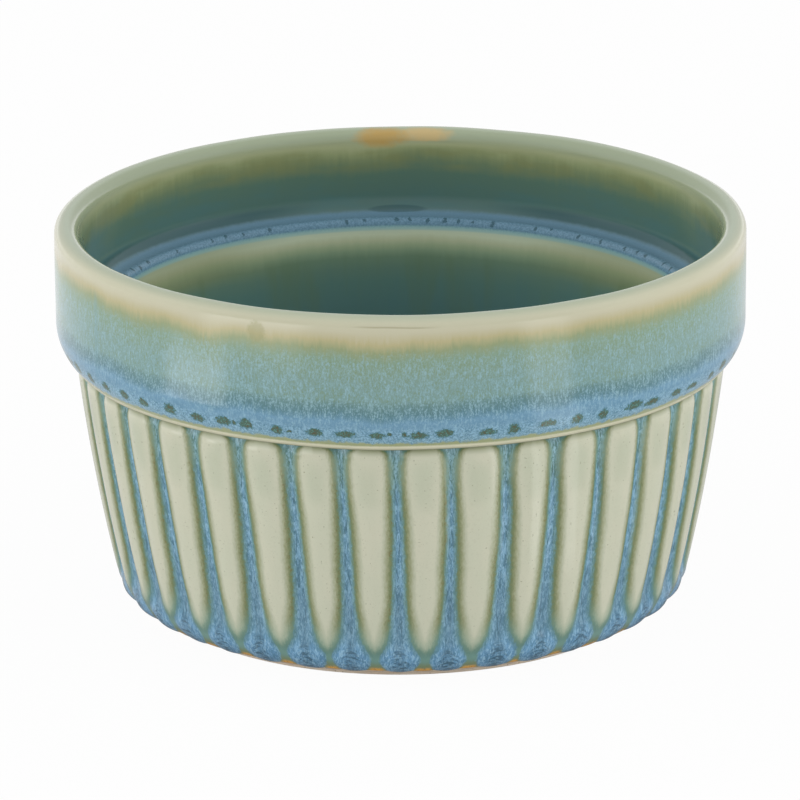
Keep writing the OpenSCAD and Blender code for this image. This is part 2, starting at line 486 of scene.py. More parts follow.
# %% Collar finish
def collar_finish():
    f = Finish("collar glaze")
    down = f.kept("down")
    slow = f.flecks(11.0, 30.0, detail=1)
    fibre = f.flecks(0.34, 1.2, detail=3, rough=0.7, curl=0.3)
    cloud = f.flecks(1.5, 3.0, detail=2)
    ragged = f.flecks(0.5, 0.5, detail=3, rough=0.75)
    speck = f.flecks(0.3, 0.3, detail=3, rough=0.7, drift=9.0)
    colour = mottled(f, banded(f, down, slow), down, slow, fibre, cloud)
    colour = spotted(f, colour, down, ragged, speck)
    # an ochre line, then the cream ridge and its shaded underside
    broken = down + (speck - 0.5) * 0.9 + (cloud - 0.5) * 1.8
    colour = f.blend(broken.rise(22.3, 23.0), colour, tint(158, 166, 120))
    colour = f.blend((down + (speck - 0.5) * 0.4).rise(23.2, 23.9), colour, tint(226, 222, 194))
    colour = f.blend(down.rise(24.1, 24.85) * 0.9, colour, tint(88, 96, 62))
    colour = marked(f, colour, down, slow, ragged)
    ripple = f.flecks(2.5, 4.0, detail=2)
    return f.glass(colour, rough=0.13, normal=f.bump(ripple + fibre * 0.12, 0.05, 0.5))


# %% [markdown]
# ## Glaze of the ribs and runs
#
# On a real fluted pot the glaze leaves every crest and gathers in every groove. The colour depends on how
# far a spot lies from the edge of the blue run, so the mesh carries that distance, and one finish serves
# ribs and runs. Their seam can't be seen.

# %% What a point of the ribbed wall knows
class FlutedFinish(Finish):
    """The finish of ribs and runs, with the values that the mesh carries and the noise that they share."""

    def __init__(self, name):
        super().__init__(name)
        self.across, self.edge, self.down = (self.kept(n) for n in ("across", "edge", "down"))
        self.tip, lot = self.kept("tip"), self.kept("lot")
        self.own = lot * 61.0
        self.run = self.triple(self.across, self.own, self.down)
        self.wobble = self.flecks(0.35, 0.9, at=self.run, detail=3, rough=0.7)
        self.fibre = self.flecks(0.3, 1.1, at=self.run, detail=3, rough=0.7, curl=1.0)
        self.out = self.edge + (self.wobble - 0.5) * 0.9


# %% Blue glass of a run
def run_colour(f):
    """Blue glass: pale fibres, dark veins, and nested arcs where a drop came to rest."""
    across, down, out, fibre = f.across, f.down, f.out, f.fibre
    vein = f.flecks(0.42, 2.6, at=f.run, detail=3, rough=0.6, drift=17.0, curl=0.6)
    patch = f.flecks(0.9, 1.6, at=f.run, detail=2, drift=5.0)
    bow = f.triple(across * 0.5, f.own, down - across * across * 0.3)
    curl = f.flecks(0.6, 0.36, at=bow, detail=3, rough=0.65)
    in_drop = down.rise(34.5, 38.0)
    middle = abs(across).fade(0.3, 1.3)
    blue = f.blend(patch.rise(0.35, 0.65), tint(102, 147, 172), tint(120, 166, 194))
    drop_blue = f.blend(patch.rise(0.35, 0.65), tint(92, 142, 184), tint(108, 160, 202))
    blue = f.blend(in_drop * 0.7, blue, drop_blue)
    blue = f.blend(fibre.rise(0.5, 0.6) * 0.9, blue, tint(150, 192, 216))
    blue = f.blend(fibre.fade(0.38, 0.48) * 0.55, blue, tint(68, 114, 130))
    thin = f.blend(fibre.rise(0.42, 0.58), tint(86, 122, 100), tint(142, 182, 186))
    blue = f.blend(down.fade(5.0, 9.5) * 0.65, blue, thin)
    flare = f.blend(fibre.rise(0.42, 0.58), tint(104, 146, 156), tint(156, 194, 206))
    blue = f.blend(down.fade(0.4, 2.2) * 0.6, blue, flare)
    dark = vein.rise(0.52, 0.62) * (0.25 + 0.75 * middle) * (1.0 - in_drop * 0.8)
    blue = f.blend(dark * 0.65, blue, f.blend(down.rise(3.0, 12.0), tint(62, 98, 78), tint(52, 98, 112)))
    heart = (abs(across) + abs(down - 39.5) * 0.35).fade(0.6, 2.6)
    blue = f.blend(curl.rise(0.46, 0.58) * heart * in_drop * 0.85, blue, tint(40, 78, 96))
    blue = f.blend(middle * down.rise(22.0, 30.0) * 0.35, blue, tint(76, 112, 132))
    blue = f.blend(out.rise(-0.8, -0.15) * (1.0 - in_drop * 0.6) * 0.5, blue, tint(106, 144, 126))
    shoulder = down.rise(32.0, 35.0) * down.fade(37.0, 39.0)
    return f.blend(out.rise(-1.3, -0.4) * shoulder * 0.5, blue, tint(78, 122, 126))


# %% Cream of a rib
def cream_colour(f):
    """The cream in the middle of a rib, with a greener patch, fine crazing and pinholes."""
    crest = f.flecks(5.0, 12.0, detail=2)
    cream = f.blend(crest.rise(0.3, 0.7) * 0.5, tint(204, 204, 182), tint(196, 201, 178))
    patch_d = (f.down - 6.5 + (crest - 0.5) * 4.0) / 5.0
    shade = (patch_d * patch_d).fade(0.0, 1.0) * f.edge.rise(1.0, 3.2)
    cream = f.blend(shade * 0.3, cream, tint(168, 180, 154))
    craze = f.flecks(0.5, 0.5, at=f.run, detail=3, rough=0.7, drift=53.0)
    cream = f.blend(craze.rise(0.5, 0.75) * 0.35, cream, tint(182, 182, 158))
    pin = f.flecks(0.35, 0.35, at=f.run, detail=0, drift=71.0)
    return f.blend(pin.rise(0.77, 0.8) * 0.5, cream, tint(120, 118, 88))


def rib_colour(f):
    """A rib: how deep a place lies inside it, from its sides, its top and its point, with round corners."""
    down, out, wobble = f.down, f.out, f.wobble
    reach = 2.2
    slim = 0.62 + 0.28 * down.rise(0.0, 17.0) - 0.06 * down.rise(21.0, 26.0) + 0.3 * down.rise(28.0, 35.0)
    side_gap = (reach - out / slim).most(0.0)
    top_gap = (reach - 0.5 - 1.1 * down).most(0.0)
    point_gap = (reach - (38.8 - down + (wobble - 0.5) * 1.6) * 0.5).most(0.0)
    deep = reach - (side_gap * side_gap + top_gap * top_gap + point_gap * point_gap).root()
    flank = f.ladder(deep + 0.5, 2.7, [
        (0.0, tint(92, 134, 130)), (0.5, tint(102, 134, 112)), (0.85, tint(114, 128, 86)),
        (1.25, tint(142, 148, 110)), (1.8, tint(174, 178, 150)), (2.2, tint(190, 193, 169)),
        (2.7, tint(201, 202, 180))])
    low_flank = f.ladder(deep + 0.5, 2.7, [
        (0.0, tint(92, 130, 122)), (0.6, tint(108, 141, 124)), (1.1, tint(146, 165, 144)),
        (1.6, tint(170, 181, 158)), (2.4, tint(194, 197, 174))])
    flank = f.blend(down.rise(31.0, 36.0), flank, low_flank)
    rib = f.blend(deep.rise(1.7, 2.2), flank, cream_colour(f))
    rust = f.flecks(0.3, 0.5, at=f.run, detail=2, rough=0.6, drift=31.0)
    near_side = abs(out - 0.35).fade(0.1, 0.7) * down.rise(3.0, 7.0) * down.fade(30.0, 35.0)
    rusty = rust.rise(0.52, 0.66) * near_side * (1.0 - f.across.rise(-1.0, 0.0) * 0.6)
    rib = f.blend(rusty * 0.5, rib, tint(118, 100, 52))
    # the web of thin glaze that joins the drops
    ragged = down + wobble - 0.5
    web = f.blend(ragged.rise(39.4, 41.0), tint(114, 153, 142), tint(126, 144, 108))
    return f.blend(ragged.rise(37.2, 39.2), rib, web)


# %% Rib and run finish
def fluted_finish(name):
    f = FlutedFinish(name)
    down, out, tip, wobble = f.down, f.out, f.tip, f.wobble
    colour = f.blend(out.rise(-0.3, 0.12), run_colour(f), rib_colour(f))
    high = down.rise(1.0, 2.5) * down.fade(4.5, 9.0)
    colour = f.blend(abs(out - 0.05).fade(0.15, 0.7) * high * 0.4, colour, tint(148, 170, 154))

    # ochre where the glaze ends, and painted shade on the underside of a drop
    end = (tip + (wobble - 0.5) * 0.8).fade(1.2, 2.1)
    burnt = f.blend(wobble.rise(0.5, 0.7), OCHRE, tint(170, 116, 30))
    colour = f.blend(end * out.rise(-0.2, 0.8), colour, burnt)
    # painted shade: the drop's lower edge is darkened, as the shadowed table under it would show in it
    under = tip.fade(0.3, 1.1) * out.fade(-0.6, 0.2)
    colour = f.blend(under * 0.7, colour, tint(44, 66, 76))
    ripple = f.flecks(1.6, 5.0, detail=2)
    height = ripple + f.fibre * 0.3 * out.fade(-0.2, 0.2)
    return f.glass(colour, rough=0.13, normal=f.bump(height, 0.06, 0.5))


# %% [markdown]
# ## Glaze of the inside
#
# Inside, the coat was poured thick and went deep green. It broke to olive under the rim and over the lip,
# and lay in a blue pool on the ledge. Here too the way down the profile gives the order of the colours.

# %% The bands of the inside
def upper_colour(f, down, rag, slow, across):
    """Olive under the rim, then deep green, with painted shade darkening a curved band over the ledge at each
    side.
    """
    level = down + (rag - 0.5) * 1.6 * down.rise(3.5, 6.0) + (slow - 0.5) * 2.5 * down.rise(3.5, 5.0)
    upper = f.ladder(level, 16.0, [
        (3.2, tint(176, 184, 150)), (4.2, tint(178, 184, 142)), (5.2, tint(158, 168, 124)),
        (6.2, tint(139, 152, 112)), (7.5, tint(118, 138, 108)), (9.5, tint(98, 128, 112)),
        (13.0, tint(94, 127, 119)), (15.5, tint(94, 126, 124))])
    blotch = f.flecks(11.0, 3.6, detail=3, rough=0.5, drift=61.0)
    green = abs(down - 6.4).fade(0.8, 3.0)
    upper = f.blend(blotch.rise(0.42, 0.65) * green * 0.5, upper, tint(140, 144, 94))
    upper = f.blend(blotch.fade(0.3, 0.55) * down.rise(7.0, 10.0) * 0.3, upper, tint(86, 130, 136))
    # painted shade: a curved dark band over the ledge at the left and right, where shadow falls
    painted_side_shade = abs(down - 15.1).fade(0.4, 1.6) * across.rise(12.0, 28.0)
    return f.blend(painted_side_shade * 0.8, upper, tint(60, 98, 104))


def ledge_colour(f, down, speck):
    """The blue glaze pooled on the ledge, with a row of small dark dots."""
    pooled = down.rise(17.4, 18.4)
    ledge = f.blend(speck.rise(0.45, 0.6) * (0.1 + 0.25 * pooled), tint(110, 147, 170), tint(136, 180, 210))
    ragged = f.flecks(0.5, 0.5, detail=3, rough=0.75)
    dots = spots(f, down, level=19.0, count=110, wide=0.5, high=0.6, salt=23.0, share=0.6)
    dots = dots + (ragged - 0.5) * 3.4
    ledge = f.blend(speck.fade(0.38, 0.48) * pooled * 0.35, ledge, tint(84, 128, 150))
    return f.blend(dots.fade(0.5, 1.1) * 0.75, ledge, DEEP_TEAL)


def bowl_colour(f, down, rag, slow, across):
    """Pale where the glaze slid off the lip, with a painted highlight there, then olive, then deep green in
    slow bands.
    """
    calm = down + (rag - 0.5) * 0.6 + (slow - 0.5) * 1.2
    # the pale first colours are thin glaze over the lip and a painted highlight on its round
    wall = f.ladder(calm - 20.0, 24.0, [
        (0.0, tint(196, 214, 196)), (1.6, tint(212, 222, 194)), (2.6, tint(198, 206, 172)),
        (3.6, tint(170, 187, 152)), (4.6, tint(143, 167, 138)), (5.7, tint(120, 148, 124)),
        (7.7, tint(108, 140, 125)), (10.0, tint(100, 137, 129)), (14.0, tint(97, 135, 133))])
    band = f.flecks(6.0, 60.0, detail=3, rough=0.5, drift=13.0)
    wall = f.blend(across.rise(16.0, 38.0) * down.fade(25.0, 28.0) * 0.5, wall, tint(148, 154, 108))
    wall = f.blend(band.rise(0.5, 0.7) * down.rise(25.0, 30.0) * 0.35, wall, tint(88, 132, 142))
    return f.blend(band.fade(0.32, 0.5) * down.rise(23.5, 27.0) * 0.35, wall, tint(110, 132, 94))


# %% Inside finish
def inside_finish(name):
    f = Finish(name)
    down = f.kept("down")
    x, y = f.axes()
    rag = f.flecks(1.2, 9.0, detail=3, rough=0.6)
    slow = f.flecks(12.0, 30.0, detail=1)
    speck = f.flecks(0.35, 0.35, detail=3, rough=0.65)
    upper = upper_colour(f, down, rag, slow, abs(x))
    bowl = bowl_colour(f, down, rag, slow, abs(x))
    colour = f.blend((down + (rag - 0.5) * 0.5).rise(15.5, 16.6), upper, ledge_colour(f, down, speck))
    colour = f.blend((down + (speck - 0.5) * 0.5).rise(20.0, 20.7), colour, bowl)
    # a pale line on the lip, and a painted reflection, a dark oval, in the fillet at the back
    # a pale line on the lip: partly thin glaze, partly a painted highlight
    colour = f.blend(abs(down - 20.5).fade(0.15, 0.6) * 0.65, colour, tint(146, 194, 200))
    # painted reflection: a dark oval in the fillet, where the glaze would mirror a dark object in front
    reflection_across, reflection_down = (x + 0.9) / 5.2, (down - 15.7) / 0.8
    painted_reflection = (reflection_across * reflection_across + reflection_down * reflection_down).fade(0.6, 1.2)
    colour = f.blend(painted_reflection * y.rise(20.0, 30.0) * 0.6, colour, tint(62, 96, 100))
    colour = scorched(f, colour, 0.0 - down)
    ripple = f.flecks(3.0, 6.0, detail=2)
    return f.glass(colour, rough=0.12, normal=f.bump(ripple, 0.05, 0.5))


# %% [markdown]
# ## Bare clay
#
# The foot was wiped clean before firing, so the glass wouldn't weld the dish to the kiln shelf. Bare
# stoneware is matt and a little rough, with fine dark and pale grains of grog.

# %% Clay finish
def clay_finish():
    f = Finish("bare stoneware")
    grain = f.flecks(0.35, 0.35, detail=3, rough=0.7)
    cells = {"Vector": f.place, "Scale": 1.1, "Randomness": 1.0}
    grog = f.add("ShaderNodeTexVoronoi", {"feature": "F1"}, cells, out="Distance")
    slow = f.flecks(7.0, 7.0, detail=2)
    colour = f.blend(slow.rise(0.3, 0.7) * 0.5, CLAY, tint(236, 216, 192))
    colour = f.blend(grain.rise(0.5, 0.75) * 0.3, colour, tint(212, 190, 162))
    colour = f.blend(grog.fade(0.08, 0.2) * 0.5, colour, tint(150, 118, 84))
    return f.glass(colour, rough=0.75, normal=f.bump(grain, 0.06, 0.6))


def base_finish():
    f = Finish("base glaze")
    slow = f.flecks(8.0, 8.0, detail=2)
    speck = f.flecks(0.8, 0.8, detail=3, rough=0.6)
    colour = f.blend(slow.rise(0.35, 0.7), tint(150, 162, 138), tint(170, 172, 140))
    colour = f.blend(speck.rise(0.55, 0.7) * 0.4, colour, TEAL)
    return f.glass(colour, rough=0.16, normal=f.bump(slow, 0.05, 0.5))


# %% [markdown]
# ## The ribbed wall
#
# The wall's 38 ribs and the runs of blue glass between them repeat by a rule, which is what Geometry Nodes
# are good at. The tree takes one flat grid, makes a copy for each rib, and then lays every point on the
# wall: how far down the profile, how far round, and how far it stands out or in. A real run is never quite
# like its neighbour, so each gets its own width, place and drop from a fixed seed. The same tree makes ribs
# or runs, whose edges then meet exactly.

# %% Sizes of the ribs and runs
# how wide half a run is, by the way down: it flares under the ridge, narrows, and swells into its drop
run_outline = [
    (-0.6, 2.4), (0.2, 1.9), (0.6, 1.5), (1.2, 1.23), (2.0, 1.04), (3.0, 0.86), (5.0, 0.8), (9.0, 0.81),
    (13.0, 0.87), (17.0, 0.92), (21.0, 1.05), (25.0, 1.11), (29.0, 1.26), (31.0, 1.38), (33.0, 1.56),
    (34.5, 1.8), (35.5, 2.06), (36.5, 2.46), (37.5, 2.9), (38.5, 3.2), (39.5, 3.26), (40.5, 3.08),
    (41.5, 2.7), (42.3, 2.3), (43.4, 1.6)]
curve_reach, curve_top = 48.0, 4.0
# ribs and grooves are at full depth down to the first way, and gone at the second
relief_from, relief_to = 33.0, 40.0
crown_depth, groove_depth = 0.5, 0.55
skin_thick = 0.35


def way_at(z):
    """How far down the wall a height lies, in millimetres from the neck."""
    if z >= corner_c[1] - corner_r * math.sin(lean_low):
        return wall_arc * (math.asin((wall_c[1] - z) / wall_arc) - lean_top)
    sunk = min(1.0, (corner_c[1] - z) / corner_r)
    return wall_length + corner_r * (math.asin(sunk) - lean_low)


# %% The tree's bench and its parts
class WallTree(Bench):
    """The tree of the ribbed wall, with its sizes by name."""

    def __init__(self, asked):
        super().__init__(bpy.data.node_groups.new("fluted wall", "GeometryNodeTree"))
        sockets = self.tree.interface
        sockets.new_socket("Geometry", in_out="OUTPUT", socket_type="NodeSocketGeometry")
        for name, kind, value in asked:
            socket = sockets.new_socket(name, in_out="INPUT", socket_type="NodeSocket" + kind)
            if value is not None:
                socket.default_value = value
        entry = self.add("NodeGroupInput").socket.node
        self.size = {s.name: Wire(self, s) for s in entry.outputs if s.name}

    def chance(self, of, low, high, salt):
        """A random number that stays the same for the same rib or run."""
        draw = {2: low, 3: high, 7: of, 8: self.size["Seed"] + salt}
        return self.add("FunctionNodeRandomValue", {"data_type": "FLOAT"}, draw, out=1)

    def sheets(self):
        """A grid for each rib, its number, the place across it from -1 to 1 and the place down it."""
        size = self.size
        grid = self.add("GeometryNodeMeshGrid", None, {
            "Size X": 2.0, "Size Y": 1.0, "Vertices X": size["Columns"] + 1, "Vertices Y": size["Rows"] + 1})
        seeds = self.add("GeometryNodePoints", None, {"Count": size["Ribs"]})
        copies = self.add("GeometryNodeInstanceOnPoints", None, {"Points": seeds, "Instance": grid})
        sheets = self.add("GeometryNodeRealizeInstances", None, {"Geometry": copies})
        index = self.add("GeometryNodeInputIndex")
        number = (index / ((size["Columns"] + 1) * (size["Rows"] + 1)) + 1e-4).floor()
        where = self.add("GeometryNodeInputPosition")
        side = (self.add("ShaderNodeSeparateXYZ", None, {0: where}, out="X") * (math.pi / 2)).sine()
        fall = 0.5 - self.add("ShaderNodeSeparateXYZ", None, {0: where}, out="Y")
        return sheets, number, side, fall * 0.3 + fall * fall * (3.0 - 2.0 * fall) * 0.7

    def stop(self, number, side):
        """How far down a sheet ends at a place across it, which is where its glaze stopped."""
        squared, side_end = side * side, self.size["Side end"]
        drop_end = self.size["Drop end"] + self.chance(number, -0.35, 0.25, 1)
        web_end = self.size["Web end"] + self.chance(number, -0.3, 0.3, 2)
        run_stop = drop_end + (side_end - drop_end) * squared
        rib_stop = web_end + (side_end - web_end) * squared
        return run_stop + (rib_stop - run_stop) * self.size["Make ribs"]

    def run_at(self, of, down, r, outline):
        """The angle of a run's middle and its half width, by its number."""
        size = self.size
        own = of - (of / size["Ribs"] + 1e-4).floor() * size["Ribs"]
        angle = (of + self.chance(own, -0.035, 0.035, 3)) * (2 * math.pi) / size["Ribs"]
        angle = angle - size["Lean"] * down.fade(3.0, 17.0) / r
        along = self.add("ShaderNodeCombineXYZ", None, {0: own * 7.3, 1: down / 5.0})
        ripple = self.add("ShaderNodeTexNoise", None, {"Vector": along, "Scale": 1.0, "Detail": 2.0})
        half = outline * curve_top * self.chance(own, 0.92, 1.1, 4) * (0.85 + 0.3 * ripple)
        return angle, half

    def kept_shape(self, shape, place, kept):
        """Ends the tree: stores what the finish asks for, moves the points and sets the material."""
        for name, value in kept.items():
            shape = self.add("GeometryNodeStoreNamedAttribute", {"data_type": "FLOAT", "domain": "POINT"},
                             {"Geometry": shape, "Name": name, "Value": value})
        shape = self.add("GeometryNodeSetPosition", None, {"Geometry": shape, "Position": place})
        shape = self.add("GeometryNodeRealizeInstances", None, {"Geometry": shape})
        finish = self.size["Finish"]
        shape = self.add("GeometryNodeSetMaterial", None, {"Geometry": shape, "Material": finish})
        last = self.tree.nodes.new("NodeGroupOutput")
        self.tree.links.new(shape.socket, last.inputs[0])
        return self.tree


def wall_profile(down):
    """Radius, height and the lean of the normal on the wall's line: a long arc, then the lower corner."""
    first = lean_top + down.least(wall_length) / wall_arc
    turn = first + (down - wall_length).most(0.0) / corner_r
    r = wall_c[0] + (wall_arc - corner_r) * first.cosine() + corner_r * turn.cosine()
    z = wall_c[1] - (wall_arc - corner_r) * first.sine() - corner_r * turn.sine()
    return r, z, turn


def groove(distance, width):
    """1 in the middle of a run, and smoothly less to its sides."""
    q = distance / (0.85 * width + 0.2)
    return (q * q * -1.0).exp()


# %% The tree for ribs and runs
def fluted_tree():
    b = WallTree([
        ("Ribs", "Int", ribs), ("Columns", "Int", 12), ("Rows", "Int", 98), ("Make ribs", "Bool", False),
        ("Seed", "Int", 5), ("Lean", "Float", 0.35), ("Crown", "Float", crown_depth),
        ("Groove", "Float", groove_depth), ("Neck fall", "Float", 0.4), ("Drop", "Float", 0.5),
        ("Coat", "Float", coat), ("Web end", "Float", 43.2), ("Side end", "Float", 43.0),
        ("Drop end", "Float", 43.5), ("Finish", "Material", None)])
    size, rib = b.size, b.size["Make ribs"]
    sheets, number, side, fall = b.sheets()
    stop = b.stop(number, side)
    down = fall * (stop + 0.5) - 0.5
    tip = stop - down
    r, z, turn = wall_profile(down)

    # how far round: between the edges of a run, or from a run to its neighbour
    outline = b.add("ShaderNodeFloatCurve", {"curve": [
        ((way + 1.0) / curve_reach, half / curve_top) for way, half in run_outline]},
        {"Value": (down + 1.0) / curve_reach})
    angle, half = b.run_at(number, down, r, outline)
    next_angle, next_half = b.run_at(number + 1.0, down, r, outline)
    left, right = angle - half / r, angle + half / r
    rib_side = next_angle - next_half / r
    theta_run = left + (right - left) * (side + 1.0) / 2.0
    theta_rib = right + (rib_side - right) * (side + 1.0) / 2.0
    theta = theta_run + (theta_rib - theta_run) * rib
    before = (theta - angle) * r
    after = (next_angle - theta) * r
    nearer = before.sum("LESS_THAN", before, after)
    across = before * nearer - after * (1.0 - nearer)
    gap = (abs(before) - half).least(after - next_half)

    # how far out: crest, groove, the fall under the ridge and the drop
    share = (abs(across) * size["Ribs"] / (math.pi * r)).least(1.0)
    ribbed = down.fade(relief_from, relief_to)
    crown = size["Crown"] * (0.5 + 0.5 * (share * math.pi).cosine()) * ribbed
    grooves = size["Groove"] * (groove(before, half) + groove(after, next_half)) * ribbed
    under_ridge = size["Neck fall"] * down.fade(-0.6, 2.4)
    qx, qs = across / 3.3, (down - 39.6) / 4.0
    blob = (1.0 - qx * qx - qs * qs).most(0.0)
    drop = size["Drop"] * blob * blob.root() * b.chance(number, 0.8, 1.1, 5)
    relief = drop - crown - grooves - under_ridge

    # the glaze thins to a round edge where it stopped
    near_tip = 1.0 - (tip / 0.8).least(1.0)
    rounded = (1.0 - near_tip * near_tip).most(0.0).root()
    relief = (relief + size["Coat"] * 0.95) * rounded - size["Coat"] * 0.95
    r = r + relief * turn.cosine()
    z = z - relief * turn.sine()
    spot = {0: r * theta.sine(), 1: r * theta.cosine() * -1.0, 2: z}
    place = b.add("ShaderNodeCombineXYZ", None, spot) * MM
    lot = b.chance(number, 0.0, 1.0, 6)
    return b.kept_shape(sheets, place, {"across": across, "edge": gap, "down": down, "tip": tip, "lot": lot})


# %% Grow the ribs and the runs
def grown(name, tree, **inputs):
    """Runs the tree on a bare object, makes the sheets solid, and keeps the result as a plain mesh."""
    holder = bpy.data.objects.new(name, bpy.data.meshes.new(name))
    bpy.context.scene.collection.objects.link(holder)
    growth = holder.modifiers.new("fluted wall", "NODES")
    growth.node_group = tree
    for item in tree.interface.items_tree:
        if item.in_out == "INPUT" and item.name in inputs:
            growth[item.identifier] = inputs[item.name]
    wall = holder.modifiers.new("thickness", "SOLIDIFY")
    wall.thickness, wall.offset = skin_thick * MM, -1.0
    graph = bpy.context.evaluated_depsgraph_get()
    seen = holder.evaluated_get(graph)
    mesh = bpy.data.meshes.new_from_object(seen, preserve_all_data_layers=True, depsgraph=graph)
    bpy.data.objects.remove(holder)
    return mesh


flutes = fluted_tree()
print("the wall's tree has", len(flutes.nodes), "nodes")
rib_glass, run_glass = fluted_finish("rib glaze"), fluted_finish("blue run glaze")
rib_mesh = grown("rib_coat", flutes, **{"Make ribs": True, "Finish": rib_glass})
rib_coat = placed("rib_coat", rib_mesh, rib_glass)
run_mesh = grown("blue_runs", flutes, **{"Make ribs": False, "Finish": run_glass})
blue_runs = placed("blue_runs", run_mesh, run_glass)

# %% [markdown]
# ## The clay under the coat
#
# The body shows only as a thin strip above the table and round the foot, but it is modelled whole, grooves
# and all, so the layers fit each other and the dish can be turned over.

# %% Stoneware body
# the angles, in degrees above level, at which the round under the collar ends on the clay and on the glass,
# and at which the ridge's round starts
clay_turn_end, collar_turn_end, ridge_turn_start = -58.2, -48.6, -20
arc_rows, corner_rows = 60, 23


def clay_line():
    outer = np.vstack([
        [(in_r + coat, height - rim_in_round)],
        arc((in_r + rim_in_round, height - rim_in_round), rim_in_round - coat, 170, 90, 8),
        arc((rim_r - rim_round, height - rim_round), rim_round - coat, 90, 0, 8),
        straight((rim_r - coat, height - rim_round), (rim_r - coat, collar_c[1]), 6),
        arc(collar_c, collar_round - coat, 0, clay_turn_end, 12)])
    corner_turns = np.linspace(lean_low, glaze_stop, corner_rows + 1)[1:]
    turns = np.concatenate([np.linspace(lean_top, lean_low, arc_rows), corner_turns])
    normals = np.column_stack([np.cos(turns), -np.sin(turns)])
    wall = np.vstack([
        np.array(wall_c) + (wall_arc - coat) * normals[:arc_rows],
        np.array(corner_c) + (corner_r - coat) * normals[arc_rows:]])
    end = wall[-1]
    foot = np.vstack([
        straight(end, (foot_r + foot_break, foot_break), 3),
        arc((foot_r, foot_break), foot_break, 0, -90, 4),
        [(foot_in_r + foot_break, 0)],
        arc((foot_in_r + foot_break, foot_break), foot_break, -120, -170, 3)])
    recess = arc(recess_c, recess_round + coat, 0, 90, 6)
    inside = np.vstack([
        [(0, recess_h + coat), (0, floor_z - coat)],
        straight((0, floor_z - coat), (floor_c[0], floor_z - coat), 3),
        arc(floor_c, floor_round + coat, -90, -math.degrees(inner_lean), 12),
        arc(lip_c, lip_round - coat, 180 - math.degrees(inner_lean), 90, 6),
        arc((in_r - ledge_fillet, ledge_z + ledge_fillet), ledge_fillet + coat, -90, 0, 8)])
    return np.vstack([outer, wall, foot, recess, inside]), len(outer), len(wall)


clay_points, wall_from, wall_rows = clay_line()
way_points, half_points = np.array(run_outline).T


def clay_grooves(line, angle):
    """The grooves in the clay, a coat deeper than the glass in them. They start behind the collar's coat."""
    carved = np.zeros((len(line), len(angle)))
    pitch_angle = 2 * np.pi / ribs
    round_angle = (angle + pitch_angle / 2) % pitch_angle - pitch_angle / 2
    for k in range(wall_from - 1, wall_from + wall_rows):
        r, z = line[k, :2]
        way = way_at(z)
        x = np.abs(round_angle) * r
        half = np.interp(way, way_points, half_points)
        ribbed = 1 - np.clip((way - relief_from) / (relief_to - relief_from), 0, 1)
        crown = crown_depth * (0.5 + 0.5 * np.cos(np.pi * np.minimum(1, x * ribs / (np.pi * r)))) * ribbed
        cut = groove_depth * np.exp(-(x / (0.85 * half + 0.2)) ** 2) * ribbed
        under = 0.5 * (1 - np.clip((way + 0.6) / 3.0, 0, 1))
        carved[k] = -(crown + 1.3 * cut + under)
    return carved


clay_mesh = turned("clay_body", travelled(clay_points), columns_round, clay_grooves)
clay_body = placed("clay_body", clay_mesh, clay_finish())

# %% [markdown]
# ## Collar, inside and base
#
# These coats are plain turned skins. The collar's outer side carries slow swells of less than a tenth of a
# millimetre. They can't be seen as shape, but they bend the reflections, which is how an eye tells glaze
# from plastic.

# %% The turned coats
rim_top = (in_r + rim_in_round + rim_r - rim_round) / 2
# the coat's underside runs on to this radius, so that no bare clay shows over the runs
under_r = 52.5
collar_glass = travelled(np.vstack([
    arc((in_r + rim_in_round, height - rim_in_round), rim_in_round, 180, 90, 16),
    arc((rim_r - rim_round, height - rim_round), rim_round, 90, 0, 16),
    straight((rim_r, height - rim_round), (rim_r, collar_c[1]), 44),
    arc(collar_c, collar_round, 0, collar_turn_end, 34),
    arc(ridge_c, ridge_r, ridge_turn_start, -90, 8),
    [(under_r, ridge_c[1] - ridge_r - 0.08)]]))
rim_way = collar_glass[np.argmin(np.hypot(collar_glass[:, 0] - rim_top, collar_glass[:, 1] - height)), 2]
collar_glass[:, 2] -= rim_way
collar_clay = np.vstack([
    arc((in_r + rim_in_round, height - rim_in_round), rim_in_round - coat, 180, 90, 8),
    arc((rim_r - rim_round, height - rim_round), rim_round - coat, 90, 0, 6),
    straight((rim_r - coat, height - rim_round), (rim_r - coat, collar_c[1]), 4),
    arc(collar_c, collar_round - coat, 0, clay_turn_end, 10),
    [(under_r, ridge_c[1] - ridge_r + 0.1)]])
print("down the collar, the ridge ends at", round(float(collar_glass[-2, 2]), 1))

inner_turn = math.degrees(inner_lean)
leaning = np.array([math.cos(inner_lean), -math.sin(inner_lean)])
inside_glass = travelled(np.vstack([
    [(in_r, height - rim_in_round)],
    straight((in_r, height - rim_in_round), (in_r, ledge_z + ledge_fillet), 12),
    arc((in_r - ledge_fillet, ledge_z + ledge_fillet), ledge_fillet, 0, -90, 16),
    arc(lip_c, lip_round, 90, 180 - inner_turn, 12),
    straight(np.array(lip_c) - lip_round * leaning, np.array(floor_c) + floor_round * leaning, 40),
    arc(floor_c, floor_round, -inner_turn, -90, 16),
    straight((floor_c[0], floor_z), (0, floor_z), 12),
    [(0, floor_z)]]), 3.45)
inside_clay = np.vstack([
    [(in_r + coat, height - rim_in_round)],
    arc((in_r - ledge_fillet, ledge_z + ledge_fillet), ledge_fillet + coat, 0, -90, 8),
    arc(lip_c, lip_round - coat, 90, 180 - inner_turn, 6),
    arc(floor_c, floor_round + coat, -inner_turn, -90, 10),
    [(0, floor_z - coat)]])

